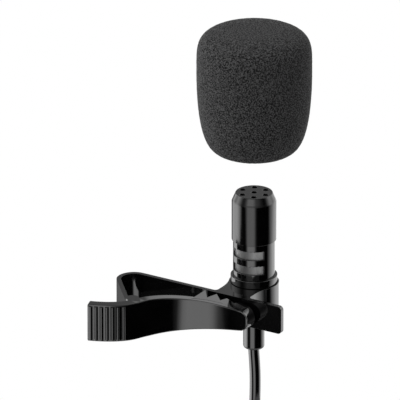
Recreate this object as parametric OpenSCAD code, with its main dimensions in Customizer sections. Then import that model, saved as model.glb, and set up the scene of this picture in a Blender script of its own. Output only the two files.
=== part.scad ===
// Lavalier microphone: an electret capsule in a slotted metal barrel, pushed into
// the ring of a sprung garment clip, with a cable to a 3.5 mm plug and a foam windscreen.
// Millimetres. +Z runs up the microphone axis, +X along the jaw to its free end.
// The origin is the grip point: on the jaw plate's inner face, in line with the microphone.

/* [Cap] */
// Diameter of the cap
cap_d = 10; // [9.9:0.1:12]
// Height of the cap
cap_h = 11.1; // [9:0.1:14]
// Wall of the cap
cap_wall = 0.4; // [0.3:0.05:0.5]
// Thickness of the cap's top
cap_top_t = 1.2; // [0.8:0.1:1.6]
// Diameter of the flat on top of the cap
cap_flat_d = 8.3; // [7.9:0.1:8.8]
// Height of the bevelled edge of the cap
cap_crown_h = 2; // [1:0.1:3]
// Diameter of each sound hole
cap_hole_d = 1.25; // [0.8:0.05:1.5]
// Distance of the outer sound holes from the axis
cap_hole_ring_r = 2.95; // [2.4:0.05:3.2]
// Number of sound holes around the middle one
cap_hole_count = 6; // [4:1:8]

/* [Barrel] */
// Diameter of the barrel below the cap
barrel_d = 9.35; // [9.3:0.05:9.6]
// Height of the barrel between collar and cap
barrel_h = 8.5; // [7.4:0.1:12]
// Wall of the barrel's neck inside the cap
neck_wall = 0.4; // [0.3:0.05:0.5]
// Height of each sound slot
slot_h = 2; // [1:0.1:2.2]
// Height of the web between the two rows of slots
slot_web = 1.5; // [0.8:0.1:1.8]
// Distance from the collar to the lower slot
slot_rise = 1.45; // [1.2:0.05:1.6]
// Arc of each slot in degrees
slot_arc = 120; // [60:5:150]
// Diameter of the collar
collar_d = 10.45; // [10:0.05:11]
// Height of the collar
collar_h = 1.7; // [1:0.1:2.5]
// Wall of the spigot that holds the microphone in the ring
spigot_wall = 0.45; // [0.35:0.05:0.6]

/* [Clip base] */
// Distance from the jaw's inner face to the microphone axis
mic_offset = 10.1; // [9.5:0.1:12]
// Outer diameter of the ring round the microphone
ring_d = 11.2; // [10.8:0.1:12]
// Bore of the ring
ring_bore_d = 8.8; // [8.7:0.05:9.2]
// Width of the neck between ring and jaw
neck_w = 8.4; // [6:0.1:9]
// Radius of the hollow fillets beside the neck
neck_fillet_r = 0.8; // [0.5:0.1:1.5]
// Radius of the hollow curve that carries the neck's sides into the ring
neck_flare_r = 10; // [6:0.5:14]
// Thickness of the jaw plate and of the return wall
jaw_t = 1; // [0.8:0.05:1.2]
// Height of the jaw plate
jaw_h = 6.5; // [6.2:0.1:7.2]
// Reach of the jaw plate from the microphone axis to its free end
jaw_reach = 13.2; // [11:0.1:16]
// Radius of the corners at the jaw's free end
jaw_corner_r = 0.9; // [0.5:0.1:2]
// Distance from the microphone axis back to the centre of the bend
bend_back = 23.4; // [22.5:0.1:26]
// Outer radius of the bend
bend_r = 3.9; // [3:0.1:4.5]

/* [Hinge] */
// Distance from the microphone axis back to the hinge
hinge_back = 16.8; // [16:0.1:18]
// Distance from the jaw's inner face forward to the hinge
hinge_drop = 14.2; // [13.6:0.1:15]
// How much lower the lever's middle lies than the jaw's
lever_sink = 0.25; // [0:0.05:0.4]
// Diameter of the knuckles
knuckle_d = 3; // [2.8:0.1:3.2]
// Height of each knuckle of the base
knuckle_h = 1.3; // [1:0.05:1.4]
// Height of each ear of the lever
ear_h = 1.3; // [1.1:0.05:1.5]
// Diameter of the hinge pin
pin_d = 1.6; // [1.2:0.1:1.7]
// Plastic left over the blind end of the pin
pin_skin = 0.7; // [0.4:0.1:0.8]
// Wire of the spring
wire_d = 0.4; // [0.3:0.05:0.45]
// Mean diameter of the spring's coil
spring_d = 2.4; // [2.35:0.05:2.6]
// Full turns of the spring
spring_turns = 3; // [2:1:3]
// Length of the spring's leg along the return wall
spring_leg = 5.5; // [4:0.1:7]

/* [Clip lever] */
// Height of the lever at the thumb pad
lever_h = 8.75; // [8.1:0.05:9]
// Height of the lever at its jaw end
lever_tip_h = 4.9; // [4:0.1:6]
// Thickness of the thumb pad
pad_t = 2.4; // [2.1:0.05:2.5]
// Thickness of the lever at its jaw end
arm_t = 1.9; // [1.5:0.05:2.2]
// Reach of the lever from the microphone axis
lever_reach = 7.1; // [6:0.1:8]
// Distance from the jaw's inner face forward to the arm's outer face at its end
arm_drop = 4.3; // [3.8:0.1:4.6]
// Radius of the lever's rounded edges
lever_edge_r = 0.25; // [0.2:0.05:0.6]
// Number of ribs on the thumb pad
rib_count = 7; // [4:1:7]
// Distance between the ribs
rib_pitch = 1.22; // [1.1:0.02:1.3]
// Diameter of each rib
rib_d = 0.9; // [0.7:0.05:1]
// Number of teeth on the lever
tooth_count = 4; // [2:1:4]
// Distance between the tips of the teeth
tooth_pitch = 2.95; // [2.5:0.05:3]
// Depth of the shallowest tooth
tooth_depth = 1.4; // [1:0.1:1.6]
// Gap between the teeth and the jaw plate with the clip shut
tooth_gap = 0.4; // [0.2:0.05:0.5]

/* [Strain relief] */
// Diameter of the strain relief
relief_d = 4.8; // [4.2:0.1:5.4]
// Length of the strain relief below the spigot
relief_len = 10.2; // [6:0.1:12]
// Radius of the strain relief's lower edge
relief_edge_r = 0.6; // [0.3:0.1:0.9]

/* [Cable] */
// Diameter of the cable
cable_d = 2.5; // [2.2:0.1:2.6]
// Radius of the coil's innermost turn at the cable's centre
coil_inner_r = 12.5; // [11:0.1:13]
// Turns of the spiral in each layer of the coil
layer_turns = 3.2917; // [3.2917:1:4.2917]
// Distance between neighbouring turns and between layers
coil_pitch = 3; // [2.95:0.05:3.1]

/* [Plug] */
// Diameter of the plug's pin
plug_d = 3.5; // [3.5:0.1:3.5]
// Length of the plug's pin
plug_len = 14; // [13:0.5:15]
// Diameter of the plug's grip
grip_d = 7.6; // [6.5:0.1:8.5]
// Length of the plug's grip
grip_len = 15; // [12:0.5:20]
// Length of the plug's cable sleeve
plug_boot_len = 8; // [6:0.5:12]

/* [Windscreen] */
// Largest diameter of the foam
foam_d = 25.5; // [23:0.1:30]
// Height of the foam
foam_h = 28.6; // [26:0.1:32]
// Share of the foam's height below its widest place
foam_waist = 0.63; // [0.5:0.01:0.7]
// How much narrower the foam is near its mouth, on each side
foam_taper = 1; // [0:0.1:2]
// Depth of the foam's bore
foam_bore_depth = 17.9; // [16:0.1:20]
// Gap between the foam and the cap with the foam pulled off
foam_lift = 9.8; // [5:0.1:20]

/* [Clearances] */
// Radial clearance of pieces pushed together
fit_gap = 0.05; // [0.02:0.01:0.08]
// Radial clearance of the hinge pin in the base
run_gap = 0.05; // [0.02:0.01:0.1]
// Side clearance between ears and knuckles
side_gap = 0.1; // [0.05:0.05:0.2]
// Clearance around what moves past the clip base
move_gap = 0.3; // [0.2:0.05:0.4]
// Radial clearance between the foam and the cap
foam_gap = 0.2; // [0.1:0.05:0.4]

/* [Hidden] */
$fn = 96;

// Levels on the microphone axis
ring_top = jaw_h / 2;
collar_top = ring_top + collar_h;
barrel_top = collar_top + barrel_h;
cap_top = barrel_top + cap_h;
cap_ceiling = cap_top - cap_top_t;

// Radii of the nested tubes, from the cap inwards
cap_bore_r = cap_d / 2 - cap_wall;
neck_r = cap_bore_r - fit_gap;
barrel_bore_r = neck_r - neck_wall;
spigot_r = ring_bore_d / 2 - fit_gap;
spigot_bore_r = spigot_r - spigot_wall;
tail_r = spigot_bore_r - fit_gap;
tail_wall = 0.4;

// Floor of the spigot, and the strain relief that hangs from it
floor_t = 1;
floor_top = -1.6;
relief_step = 0.45;
relief_flange_w = 0.8;
relief_flange_t = 0.8;
floor_hole_r = relief_d / 2 - relief_step;
relief_bottom = floor_top - floor_t - relief_len;
relief_flange_r = floor_hole_r + relief_flange_w;
cable_r = cable_d / 2;
crimp_h = 1.2;
cable_top = floor_top + relief_flange_t + crimp_h;

// Screens and capsule
mesh_t = 0.15;
mesh_margin = 0.6;
felt_t = 0.9;
neck_top = cap_ceiling - mesh_t - felt_t;
barrel_floor_t = 0.7;
barrel_floor = collar_top + barrel_floor_t;
tail_reach = 2;
can_r = 3;
can_h = 2.7;
can_wall = 0.2;
can_floor = neck_top - can_h;
boot_ledge = 1;
boot_ledge_r = 2.4;
inside_r = can_r - can_wall - fit_gap;
pcb_t = 0.4;
diaphragm_t = 0.3;
spacer_t = 0.1;
backplate_t = 0.3;
lead_x = 0.6;
lead_r = 0.3;
solder_h = 0.4;
capsule_top = neck_top - can_wall;
backplate_top = capsule_top - diaphragm_t - spacer_t;

// Clip: the bend, and the return wall that runs from it to the hinge
bend_centre = [-bend_back, jaw_t - bend_r];
hinge = [-hinge_back, -hinge_drop];
knuckle_r = knuckle_d / 2;
to_hinge = hinge - bend_centre;
return_angle = atan2(to_hinge[1], to_hinge[0]);
wall_side = return_angle - acos((bend_r - knuckle_r) / norm(to_hinge));
wall_out = [cos(wall_side), sin(wall_side)];
wall_along = [cos(wall_side - 90), sin(wall_side - 90)];
ear_inner = lever_h / 2 - ear_h;
knuckle_top = ear_inner - side_gap;
spring_room = 2 * (knuckle_top - knuckle_h);

// Lever: two cubic curves, the thumb pad and the arched arm, meet beside the hinge
pad_curve = [
    hinge + [-6.3, -8.45],
    hinge + [-2, -7.1],
    hinge + [1.3, -4.6],
    hinge + [2.5, -1.8]
];
arm_curve = [
    hinge + [2.5, -1.8],
    hinge + [3.8, 1.35],
    [lever_reach - 16.5, -arm_drop],
    [lever_reach, -arm_drop]
];
pad_steps = 16;
arm_steps = 30;
tip_r = lever_tip_h / 2;
taper_start = 3.8;
first_rib = 0.55;
first_tooth = lever_reach - 4.5;
tooth_flank = 0.7;
root_step = 0.8;

// Spring
spring_r = spring_d / 2;
wire_r = wire_d / 2;
window_r = spring_r + wire_r + 0.8;
coil_rise = spring_room - wire_d - 0.44;

// Cable route down from the strain relief, chosen by hand, in the plane of the coil's first layer
run_route = [
    [0, -13.8], [0.2, -16.5], [0.35, -19.5], [0.35, -23.5], [0.15, -27.5],
    [-0.6, -31.7], [-2.4, -36], [-5.3, -39.8]
];
// The coil: it starts at 11 o'clock, and ends at 9 o'clock heading down
coil_centre = [0, -63.3];
start_angle = 120;
layers = 4;
loop_steps = 24;
coil_outer_r = coil_inner_r + coil_pitch * layer_turns;
all_turns = layers * layer_turns;
coil_sides = 6;
coil_y = mic_offset;
tail_len = 14;
tail_y = coil_y + (layers - 1) * coil_pitch;
tail_x = coil_centre[0] - coil_outer_r;
tail_top = coil_centre[1] - cable_d;
plug_top = tail_top - tail_len;
tie_t = 0.8;
tie_w = 8;
tie_gap = 0.3;

// Plug: levels of its pin, from the grip down
grip_bottom = plug_top - plug_boot_len - grip_len;
plug_r = plug_d / 2;
plug_ring_h = 2.4;
plug_insulator_h = 0.6;
plug_tip_h = 3.6;
sleeve_h = plug_len - plug_tip_h - 2 * plug_ring_h - 3 * plug_insulator_h;

// Foam
foam_bore_r = cap_d / 2 + foam_gap;
foam_bottom = cap_top + foam_lift;
foam_mid = foam_bottom + foam_waist * foam_h;
foam_top = foam_bottom + foam_h;

function unit(v) = v / norm(v);
function turn_left(v) = [-v[1], v[0]];
function bezier(c, t) =
    pow(1 - t, 3) * c[0] + 3 * pow(1 - t, 2) * t * c[1] + 3 * (1 - t) * t * t * c[2] + pow(t, 3) * c[3];
function bezier_way(c, t) =
    unit(pow(1 - t, 2) * (c[1] - c[0]) + 2 * (1 - t) * t * (c[2] - c[1]) + t * t * (c[3] - c[2]));

// Closed skin over rings of points; every ring has the same count and turns the same way
module skin(rings) {
    n = len(rings[0]);
    m = len(rings);
    walls = [
        for (i = [0:m - 2], j = [0:n - 1], k = [0:1])
            let (a = i * n + j, b = i * n + (j + 1) % n)
            k == 0 ? [a, b, b + n] : [a, b + n, a + n]
    ];
    first = [for (j = [1:n - 2]) [0, j + 1, j]];
    last = [for (j = [1:n - 2]) [(m - 1) * n, (m - 1) * n + j, (m - 1) * n + j + 1]];
    polyhedron(points = [for (r = rings, p = r) p], faces = concat(walls, first, last));
}

// Round tube along points; up is a direction that the path never takes
module tube(path, r, sides, up) {
    m = len(path);
    skin([
        for (i = [0:m - 1])
            let (
                way = unit(path[min(i + 1, m - 1)] - path[max(i - 1, 0)]),
                side = unit(cross(up, way)),
                rise = cross(way, side)
            )
            [for (j = [0:sides - 1]) path[i] - r * cos(360 * j / sides) * side + r * sin(360 * j / sides) * rise]
    ]);
}

module ring_tube(outer_r, inner_r, low, high) {
    translate([0, 0, low])
        difference() {
            cylinder(r = outer_r, h = high - low);
            translate([0, 0, -1])
                cylinder(r = inner_r, h = high - low + 2);
        }
}

module on_mic_axis() {
    translate([0, mic_offset, 0])
        children();
}

module at_hinge() {
    translate([hinge[0], hinge[1], -lever_sink])
        children();
}

// ---- Clip base ----

// Plan of the bend: a ring cut off where the jaw and the return wall run out of it
module bend_plan() {
    far = 2 * bend_r;
    translate(bend_centre)
        intersection() {
            difference() {
                circle(r = bend_r);
                circle(r = bend_r - jaw_t);
            }
            polygon([
                [0, 0], [0, far], [-far, far], [-far, -far / 2],
                far * wall_out
            ]);
        }
}

module return_wall_plan() {
    lap = 0.1 * wall_along;
    polygon([
        bend_centre + bend_r * wall_out + lap,
        bend_centre + (bend_r - jaw_t) * wall_out + lap,
        hinge + (knuckle_r - jaw_t) * wall_out,
        hinge + knuckle_r * wall_out
    ]);
}

module neck_plan() {
    half = neck_w / 2;
    flare_x = half + neck_flare_r;
    flare_drop = sqrt(pow(ring_d / 2 + neck_flare_r, 2) - flare_x * flare_x);
    flare_end = asin(flare_drop / (ring_d / 2 + neck_flare_r));
    flare_dip = 0.15;
    for (side = [-1, 1]) {
        // half of the neck, with its side flared out to meet the ring along a shared tangent
        polygon(concat(
            [[0, jaw_t / 2], [side * half, jaw_t / 2]],
            [
                for (i = [0:8])
                    let (a = flare_end * i / 9)
                    [side * (flare_x - neck_flare_r * cos(a)), mic_offset - flare_drop + neck_flare_r * sin(a)]
            ],
            // the last chord dips below the ring's face, so the two cross instead of touching
            [
                [
                    side * (ring_d / 2 - flare_dip) * cos(flare_end),
                    mic_offset - (ring_d / 2 - flare_dip) * sin(flare_end)
                ],
                [0, mic_offset]
            ]
        ));
        translate([side * half, jaw_t])
            difference() {
                translate([-neck_fillet_r, -jaw_t / 2])
                    square([2 * neck_fillet_r, neck_fillet_r + jaw_t / 2]);
                translate([side * neck_fillet_r, neck_fillet_r])
                    circle(r = neck_fillet_r);
                translate([side > 0 ? neck_fillet_r : -2 * neck_fillet_r, 0])
                    square([neck_fillet_r, 2 * neck_fillet_r]);
            }
    }
}

// Jaw plate with its two rounded free corners
module jaw_plate() {
    rotate([90, 0, 0])
        translate([0, 0, -jaw_t])
            linear_extrude(jaw_t) {
                translate([-bend_back, -jaw_h / 2])
                    square([bend_back + jaw_reach - jaw_corner_r, jaw_h]);
                translate([jaw_reach - 2 * jaw_corner_r, -jaw_h / 2 + jaw_corner_r])
                    square([2 * jaw_corner_r, jaw_h - 2 * jaw_corner_r]);
                for (side = [-1, 1])
                    translate([jaw_reach - jaw_corner_r, side * (jaw_h / 2 - jaw_corner_r)])
                        circle(r = jaw_corner_r);
            }
}

module clip_base() {
    color([0.05, 0.05, 0.055])
        difference() {
            union() {
                jaw_plate();
                translate([0, 0, -jaw_h / 2])
                    linear_extrude(jaw_h) {
                        bend_plan();
                        return_wall_plan();
                        neck_plan();
                        translate([0, mic_offset])
                            circle(r = ring_d / 2);
                    }
                at_hinge()
                    cylinder(r = knuckle_r, h = 2 * knuckle_top, center = true);
            }
            on_mic_axis()
                cylinder(d = ring_bore_d, h = 2 * jaw_h, center = true);
            // room for the lever's ears above and below the knuckles
            at_hinge()
                for (side = [-1, 1])
                    translate([0, 0, side * (knuckle_top + jaw_h)])
                        cylinder(r = knuckle_r + move_gap, h = 2 * jaw_h, center = true);
            // window for the spring between the knuckles
            at_hinge()
                cylinder(r = window_r, h = spring_room, center = true);
            at_hinge()
                cylinder(r = pin_d / 2 + run_gap, h = 2 * jaw_h, center = true);
            // groove in the return wall for the spring's leg
            at_hinge()
                rotate([0, 0, wall_side - 90])
                    translate([0, spring_r - wire_r, coil_rise / 2 - wire_r - fit_gap])
                        cube([spring_leg + fit_gap, knuckle_r, wire_d + 2 * fit_gap]);
        }
}

// ---- Microphone body ----

module mic_collar() {
    color([0.06, 0.06, 0.065])
        on_mic_axis() {
            ring_tube(collar_d / 2, spigot_bore_r, ring_top, collar_top);
            ring_tube(spigot_r, spigot_bore_r, floor_top, ring_top);
            ring_tube(spigot_r, floor_hole_r, floor_top - floor_t, floor_top);
        }
}

module slots() {
    for (row = [0, 1], face = [-90, 90])
        rotate([0, 0, face - slot_arc / 2])
            rotate_extrude(angle = slot_arc)
                translate([barrel_bore_r - 1, collar_top + slot_rise + row * (slot_h + slot_web)])
                    square([barrel_d / 2, slot_h]);
}

module mic_barrel() {
    color([0.07, 0.07, 0.075])
        on_mic_axis() {
            difference() {
                ring_tube(barrel_d / 2, barrel_bore_r, barrel_floor, barrel_top);
                slots();
            }
            ring_tube(neck_r, barrel_bore_r, barrel_top, neck_top);
            ring_tube(barrel_d / 2, tail_r - tail_wall, collar_top, barrel_floor);
            ring_tube(tail_r, tail_r - tail_wall, ring_top - tail_reach, collar_top);
        }
}

module slot_mesh() {
    slots_top = collar_top + slot_rise + 2 * slot_h + slot_web;
    color([0.25, 0.25, 0.26])
        on_mic_axis()
            ring_tube(barrel_bore_r, barrel_bore_r - mesh_t, barrel_floor, slots_top + mesh_margin);
}

module mic_cap() {
    color([0.07, 0.07, 0.075])
        on_mic_axis()
            difference() {
                rotate_extrude()
                    polygon([
                        [0, cap_ceiling], [cap_bore_r, cap_ceiling], [cap_bore_r, barrel_top], [cap_d / 2, barrel_top],
                        [cap_d / 2, cap_top - cap_crown_h], [cap_flat_d / 2, cap_top], [0, cap_top]
                    ]);
                for (i = [0:cap_hole_count])
                    rotate([0, 0, 360 * i / cap_hole_count])
                        translate([i < cap_hole_count ? cap_hole_ring_r : 0, 0, cap_ceiling - 1])
                            cylinder(d = cap_hole_d, h = cap_top_t + 2, $fn = 32);
            }
}

module cap_mesh() {
    color([0.3, 0.3, 0.31])
        on_mic_axis()
            translate([0, 0, cap_ceiling - mesh_t])
                cylinder(r = cap_bore_r - fit_gap, h = mesh_t);
}

module dust_felt() {
    color([0.1, 0.1, 0.1])
        on_mic_axis()
            translate([0, 0, neck_top])
                cylinder(r = neck_r, h = felt_t);
}

module capsule_boot() {
    color([0.12, 0.12, 0.12])
        on_mic_axis() {
            ring_tube(barrel_bore_r, can_r, can_floor, neck_top);
            ring_tube(barrel_bore_r, boot_ledge_r, can_floor - boot_ledge, can_floor);
        }
}

module electret_can() {
    port_r = 1;
    color([0.75, 0.75, 0.77])
        on_mic_axis() {
            ring_tube(can_r, can_r - can_wall, can_floor, capsule_top);
            ring_tube(can_r, port_r, capsule_top, neck_top);
        }
}

module diaphragm() {
    film_t = 0.05;
    rim_w = 0.45;
    color([0.8, 0.65, 0.3])
        on_mic_axis() {
            ring_tube(inside_r, inside_r - rim_w, capsule_top - diaphragm_t, capsule_top);
            translate([0, 0, capsule_top - diaphragm_t])
                cylinder(r = inside_r - rim_w / 2, h = film_t);
        }
}

module spacer_ring() {
    color([0.9, 0.9, 0.85])
        on_mic_axis()
            ring_tube(inside_r, inside_r - 0.35, backplate_top, backplate_top + spacer_t);
}

module backplate() {
    hole_r = 0.2;
    color([0.7, 0.7, 0.72])
        on_mic_axis()
            difference() {
                translate([0, 0, backplate_top - backplate_t])
                    cylinder(r = inside_r, h = backplate_t);
                for (i = [0:3])
                    rotate([0, 0, 90 * i + 45])
                        translate([inside_r / 2, 0, backplate_top - 1])
                            cylinder(r = hole_r, h = 2, $fn = 24);
            }
}

module insulator_cup() {
    color([0.85, 0.85, 0.8])
        on_mic_axis()
            ring_tube(inside_r, inside_r - 0.5, can_floor + pcb_t, backplate_top - backplate_t);
}

module fet() {
    fet_size = [1.3, 1, 0.6];
    color([0.08, 0.08, 0.08])
        on_mic_axis()
            translate([-fet_size[0] / 2, -fet_size[1] / 2, can_floor + pcb_t])
                cube(fet_size);
}

module capsule_pcb() {
    color([0.1, 0.35, 0.15])
        on_mic_axis()
            translate([0, 0, can_floor])
                cylinder(r = inside_r, h = pcb_t);
}

module solder_joint(side) {
    color([0.8, 0.8, 0.82])
        on_mic_axis()
            translate([side * lead_x, 0, can_floor - solder_h])
                cylinder(r1 = lead_r, r2 = lead_r + 0.2, h = solder_h, $fn = 32);
}

module lead_wire(side, tint) {
    color(tint)
        on_mic_axis()
            translate([side * lead_x, 0, cable_top])
                cylinder(r = lead_r, h = can_floor - solder_h - cable_top, $fn = 24);
}

module solder_left() {
    solder_joint(-1);
}

module solder_right() {
    solder_joint(1);
}

module lead_wire_left() {
    lead_wire(-1, [0.7, 0.1, 0.1]);
}

module lead_wire_right() {
    lead_wire(1, [0.85, 0.85, 0.85]);
}

module cable_crimp() {
    color([0.7, 0.6, 0.35])
        on_mic_axis()
            ring_tube(cable_r + 0.5, cable_r, floor_top + relief_flange_t, cable_top);
}

module strain_relief() {
    edge_low = relief_bottom + relief_edge_r;
    edge_in = relief_d / 2 - relief_edge_r;
    under_floor = floor_top - floor_t;
    neck_r_in_floor = floor_hole_r - fit_gap;
    color([0.05, 0.05, 0.05])
        on_mic_axis()
            rotate_extrude()
                polygon(concat(
                    [[cable_r, floor_top + relief_flange_t], [cable_r, relief_bottom]],
                    [for (a = [-90:15:0]) [edge_in + relief_edge_r * cos(a), edge_low + relief_edge_r * sin(a)]],
                    [
                        [relief_d / 2, under_floor], [neck_r_in_floor, under_floor],
                        [neck_r_in_floor, floor_top], [relief_flange_r, floor_top],
                        [relief_flange_r, floor_top + relief_flange_t]
                    ]
                ));
}

// ---- Cable ----

module cable_entry() {
    color([0.04, 0.04, 0.04])
        on_mic_axis()
            translate([0, 0, relief_bottom])
                cylinder(r = cable_r, h = cable_top - relief_bottom, $fn = 32);
}

// How far the coil has turned inwards or outwards, as a share of a layer's spiral
function in_and_out(turns) =
    let (part = turns / layer_turns, layer = floor(part), share = part - layer)
    layer % 2 == 0 ? share : 1 - share;
// Layer at a number of turns: whole, but for the climb in the half turn about each reversal
function layer_at(turns) =
    let (near = round(turns / layer_turns), past = turns - near * layer_turns)
    near == 0 ? 0
    : near == layers ? layers - 1
    : near - 1 + min(1, max(0, (past + 0.25) / 0.5));
function coil_point(turns) =
    let (r = coil_outer_r - (coil_outer_r - coil_inner_r) * in_and_out(turns), a = start_angle + 360 * turns)
    [
        coil_centre[0] + r * cos(a),
        coil_y + coil_pitch * layer_at(turns),
        coil_centre[1] + r * sin(a)
    ];
coil_steps = round(all_turns * loop_steps);
coil_winding = [for (i = [0:coil_steps]) coil_point(min(all_turns - 0.0001, i * all_turns / coil_steps))];
start_way = [-sin(start_angle), 0, cos(start_angle)];
coil_start = coil_winding[0] - cable_d * start_way;
coil_end = [tail_x, tail_y, tail_top];

module cable_run() {
    color([0.04, 0.04, 0.04])
        tube(
            concat(
                [[0, mic_offset, relief_bottom]],
                [for (p = run_route) [p[0], coil_y, p[1]]],
                [coil_start - 0.2 * start_way, coil_start]
            ),
            cable_r, 8, [0, 1, 0]
        );
}

module cable_coil() {
    color([0.04, 0.04, 0.04])
        tube(concat([coil_start], coil_winding, [coil_end]), cable_r, coil_sides, [0, 1, 0]);
}

// Least distance between turns that lie half a turn or more apart along the coil
half_loop = loop_steps / 2;
least_gap = min([
    for (i = [0:coil_steps - half_loop], j = [i + half_loop:coil_steps])
        norm(coil_winding[i] - coil_winding[j])
]) - cable_d;
echo(least_gap_in_coil = least_gap);

module cable_tail() {
    color([0.04, 0.04, 0.04])
        tube(
            [for (i = [0:2]) [tail_x, tail_y, tail_top - i * tail_len / 2]],
            cable_r, 8, [0, 1, 0]
        );
}

// Band round all the turns, where the cable runs into the coil
module cable_tie() {
    bundle_r = cable_r + tie_gap;
    // the innermost turn curves inwards under the band's edges
    low = sqrt(pow(coil_inner_r - cable_r, 2) - pow(tie_w / 2, 2)) - tie_gap;
    high = coil_outer_r + bundle_r;
    back = tail_y - coil_y + 2 * bundle_r;
    tie_angle = start_angle + 20;
    color([0.1, 0.1, 0.1])
        translate([coil_centre[0], coil_y - bundle_r, coil_centre[1]])
            rotate([0, -tie_angle, 0])
                translate([low, 0, 0])
                    linear_extrude(tie_w, center = true)
                        difference() {
                            translate([-tie_t, -tie_t])
                                square([high - low + 2 * tie_t, back + 2 * tie_t]);
                            square([high - low, back]);
                        }
}

// ---- Plug ----

module on_plug_axis() {
    translate([tail_x, tail_y, 0])
        children();
}

module plug_boot() {
    boot_top = plug_top;
    boot_bottom = plug_top - plug_boot_len;
    boot_r = grip_d / 2 - 1.2;
    color([0.05, 0.05, 0.05])
        on_plug_axis()
            rotate_extrude()
                polygon([
                    [0, boot_bottom], [boot_r, boot_bottom], [cable_r + 0.6, boot_top - 0.3],
                    [cable_r + 0.3, boot_top], [0, boot_top]
                ]);
}

module plug_grip() {
    edge = 0.6;
    top = plug_top - plug_boot_len;
    color([0.06, 0.06, 0.065])
        on_plug_axis()
            rotate_extrude()
                polygon([
                    [0, grip_bottom], [grip_d / 2 - edge, grip_bottom], [grip_d / 2, grip_bottom + edge],
                    [grip_d / 2, top - edge], [grip_d / 2 - edge, top], [0, top]
                ]);
}

module plug_band(top, height) {
    on_plug_axis()
        translate([0, 0, top - height])
            cylinder(r = plug_r, h = height);
}

// Top of the n-th insulator below the sleeve; a ring or the tip follows each one
function insulator_top(n) = grip_bottom - sleeve_h - n * (plug_insulator_h + plug_ring_h);

module plug_sleeve() {
    color([0.85, 0.7, 0.35])
        plug_band(grip_bottom, sleeve_h);
}

module plug_ring(n) {
    color([0.85, 0.7, 0.35])
        plug_band(insulator_top(n) - plug_insulator_h, plug_ring_h);
}

module plug_insulator(n) {
    color([0.03, 0.03, 0.03])
        plug_band(insulator_top(n), plug_insulator_h);
}

module plug_ring_1() {
    plug_ring(0);
}

module plug_ring_2() {
    plug_ring(1);
}

module plug_insulator_1() {
    plug_insulator(0);
}

module plug_insulator_2() {
    plug_insulator(1);
}

module plug_insulator_3() {
    plug_insulator(2);
}

module plug_tip() {
    top = insulator_top(2) - plug_insulator_h;
    bottom = top - plug_tip_h;
    color([0.85, 0.7, 0.35])
        on_plug_axis()
            rotate_extrude()
                polygon([
                    [0, top], [plug_r, top], [plug_r, top - 0.5], [plug_r * 0.72, top - 1.3],
                    [plug_r * 0.98, top - 2.1], [plug_r * 0.85, bottom + 0.6],
                    [plug_r * 0.35, bottom], [0, bottom]
                ]);
}

// ---- Clip lever ----

// Half the lever's height at a place along the jaw, from the pad to its half-round end
taper_x = hinge[0] + taper_start;
round_x = lever_reach - tip_r;
function half_height(x) =
    x < taper_x ? lever_h / 2
    : x < round_x ? lever_h / 2 - (lever_h / 2 - tip_r) * (x - taper_x) / (round_x - taper_x)
    : sqrt(max(0, tip_r * tip_r - pow(x - round_x, 2)));

// Outline of one cross-section: t runs inwards from the outer face, with rounded corners
function section(at, inward, t, half, edge) =
    let (
        r = min(edge, 0.45 * t, 0.9 * half),
        corners = [[t - r, r - half, 270], [r, r - half, 180], [r, half - r, 90], [t - r, half - r, 0]]
    )
    [
        for (c = corners, a = [90:-30:0])
            let (w = c[0] + r * cos(c[2] + a), z = c[1] + r * sin(c[2] + a))
            [at[0] + w * inward[0], at[1] + w * inward[1], z - lever_sink]
    ];

// Rings along the thumb pad and the arm; the first ones draw in to round off the pad's end
pad_ends = [0, 0.25, 0.6];
function pad_section(t) =
    let (
        way = bezier_way(pad_curve, t),
        inward = turn_left(way)
    )
    section(bezier(pad_curve, t), inward, pad_t, lever_h / 2, lever_edge_r);
function drawn_in(share) =
    let (
        way = bezier_way(pad_curve, 0),
        inward = turn_left(way),
        inset = lever_edge_r * (1 - sqrt(1 - pow(1 - share, 2)))
    )
    section(
        pad_curve[0] - lever_edge_r * (1 - share) * way + inset * inward,
        inward, pad_t - 2 * inset, lever_h / 2 - inset, lever_edge_r - inset / 2
    );
function arm_section(t) =
    let (
        at = bezier(arm_curve, t),
        way = bezier_way(arm_curve, t)
    )
    section(at, turn_left(way), pad_t + (arm_t - pad_t) * t, half_height(at[0]), lever_edge_r);
lever_rings = concat(
    [for (s = pad_ends) drawn_in(s)],
    [for (i = [0:pad_steps - 1]) pad_section(i / pad_steps)],
    [for (i = [0:arm_steps - 1]) arm_section(i / arm_steps)],
    [for (a = [0:15:75]) arm_section(1 - (1 - sin(a)) * 0.02)]
);

// Plan of the toothed block: steep flanks face the hinge, and the roots deepen towards it
module tooth_plan() {
    tips = [for (i = [0:tooth_count - 1]) first_tooth - i * tooth_pitch];
    last = tooth_count - 1;
    root = -tooth_gap - tooth_depth;
    saw = [
        for (i = [0:last], k = [0:1])
            k == 0 ? [tips[i], -tooth_gap]
            : i < last ? [tips[i] - tooth_flank, root - i * root_step]
            : [tips[i], -arm_drop - 0.65]
    ];
    polygon(concat(
        [[lever_reach, -arm_drop + arm_t / 2], [lever_reach, -tooth_gap - 0.8]],
        saw,
        [
            [tips[last] - tooth_flank + 0.5, -arm_drop - 1.7],
            [first_tooth - 2 * tooth_pitch, -arm_drop - 0.1],
            [first_tooth - tooth_pitch, -arm_drop + arm_t / 3]
        ]
    ));
}

// Side view of the arm: it narrows to a half-round end
module arm_side() {
    polygon([
        [taper_x - 5, lever_h / 2], [taper_x, lever_h / 2], [round_x, tip_r],
        [round_x, -tip_r], [taper_x, -lever_h / 2], [taper_x - 5, -lever_h / 2]
    ]);
    translate([round_x, 0])
        circle(r = tip_r);
}

module tooth_block() {
    intersection() {
        translate([0, 0, -lever_h])
            linear_extrude(2 * lever_h)
                tooth_plan();
        translate([0, lever_reach, -lever_sink])
            rotate([90, 0, 0])
                linear_extrude(4 * lever_reach)
                    arm_side();
    }
}

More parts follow.
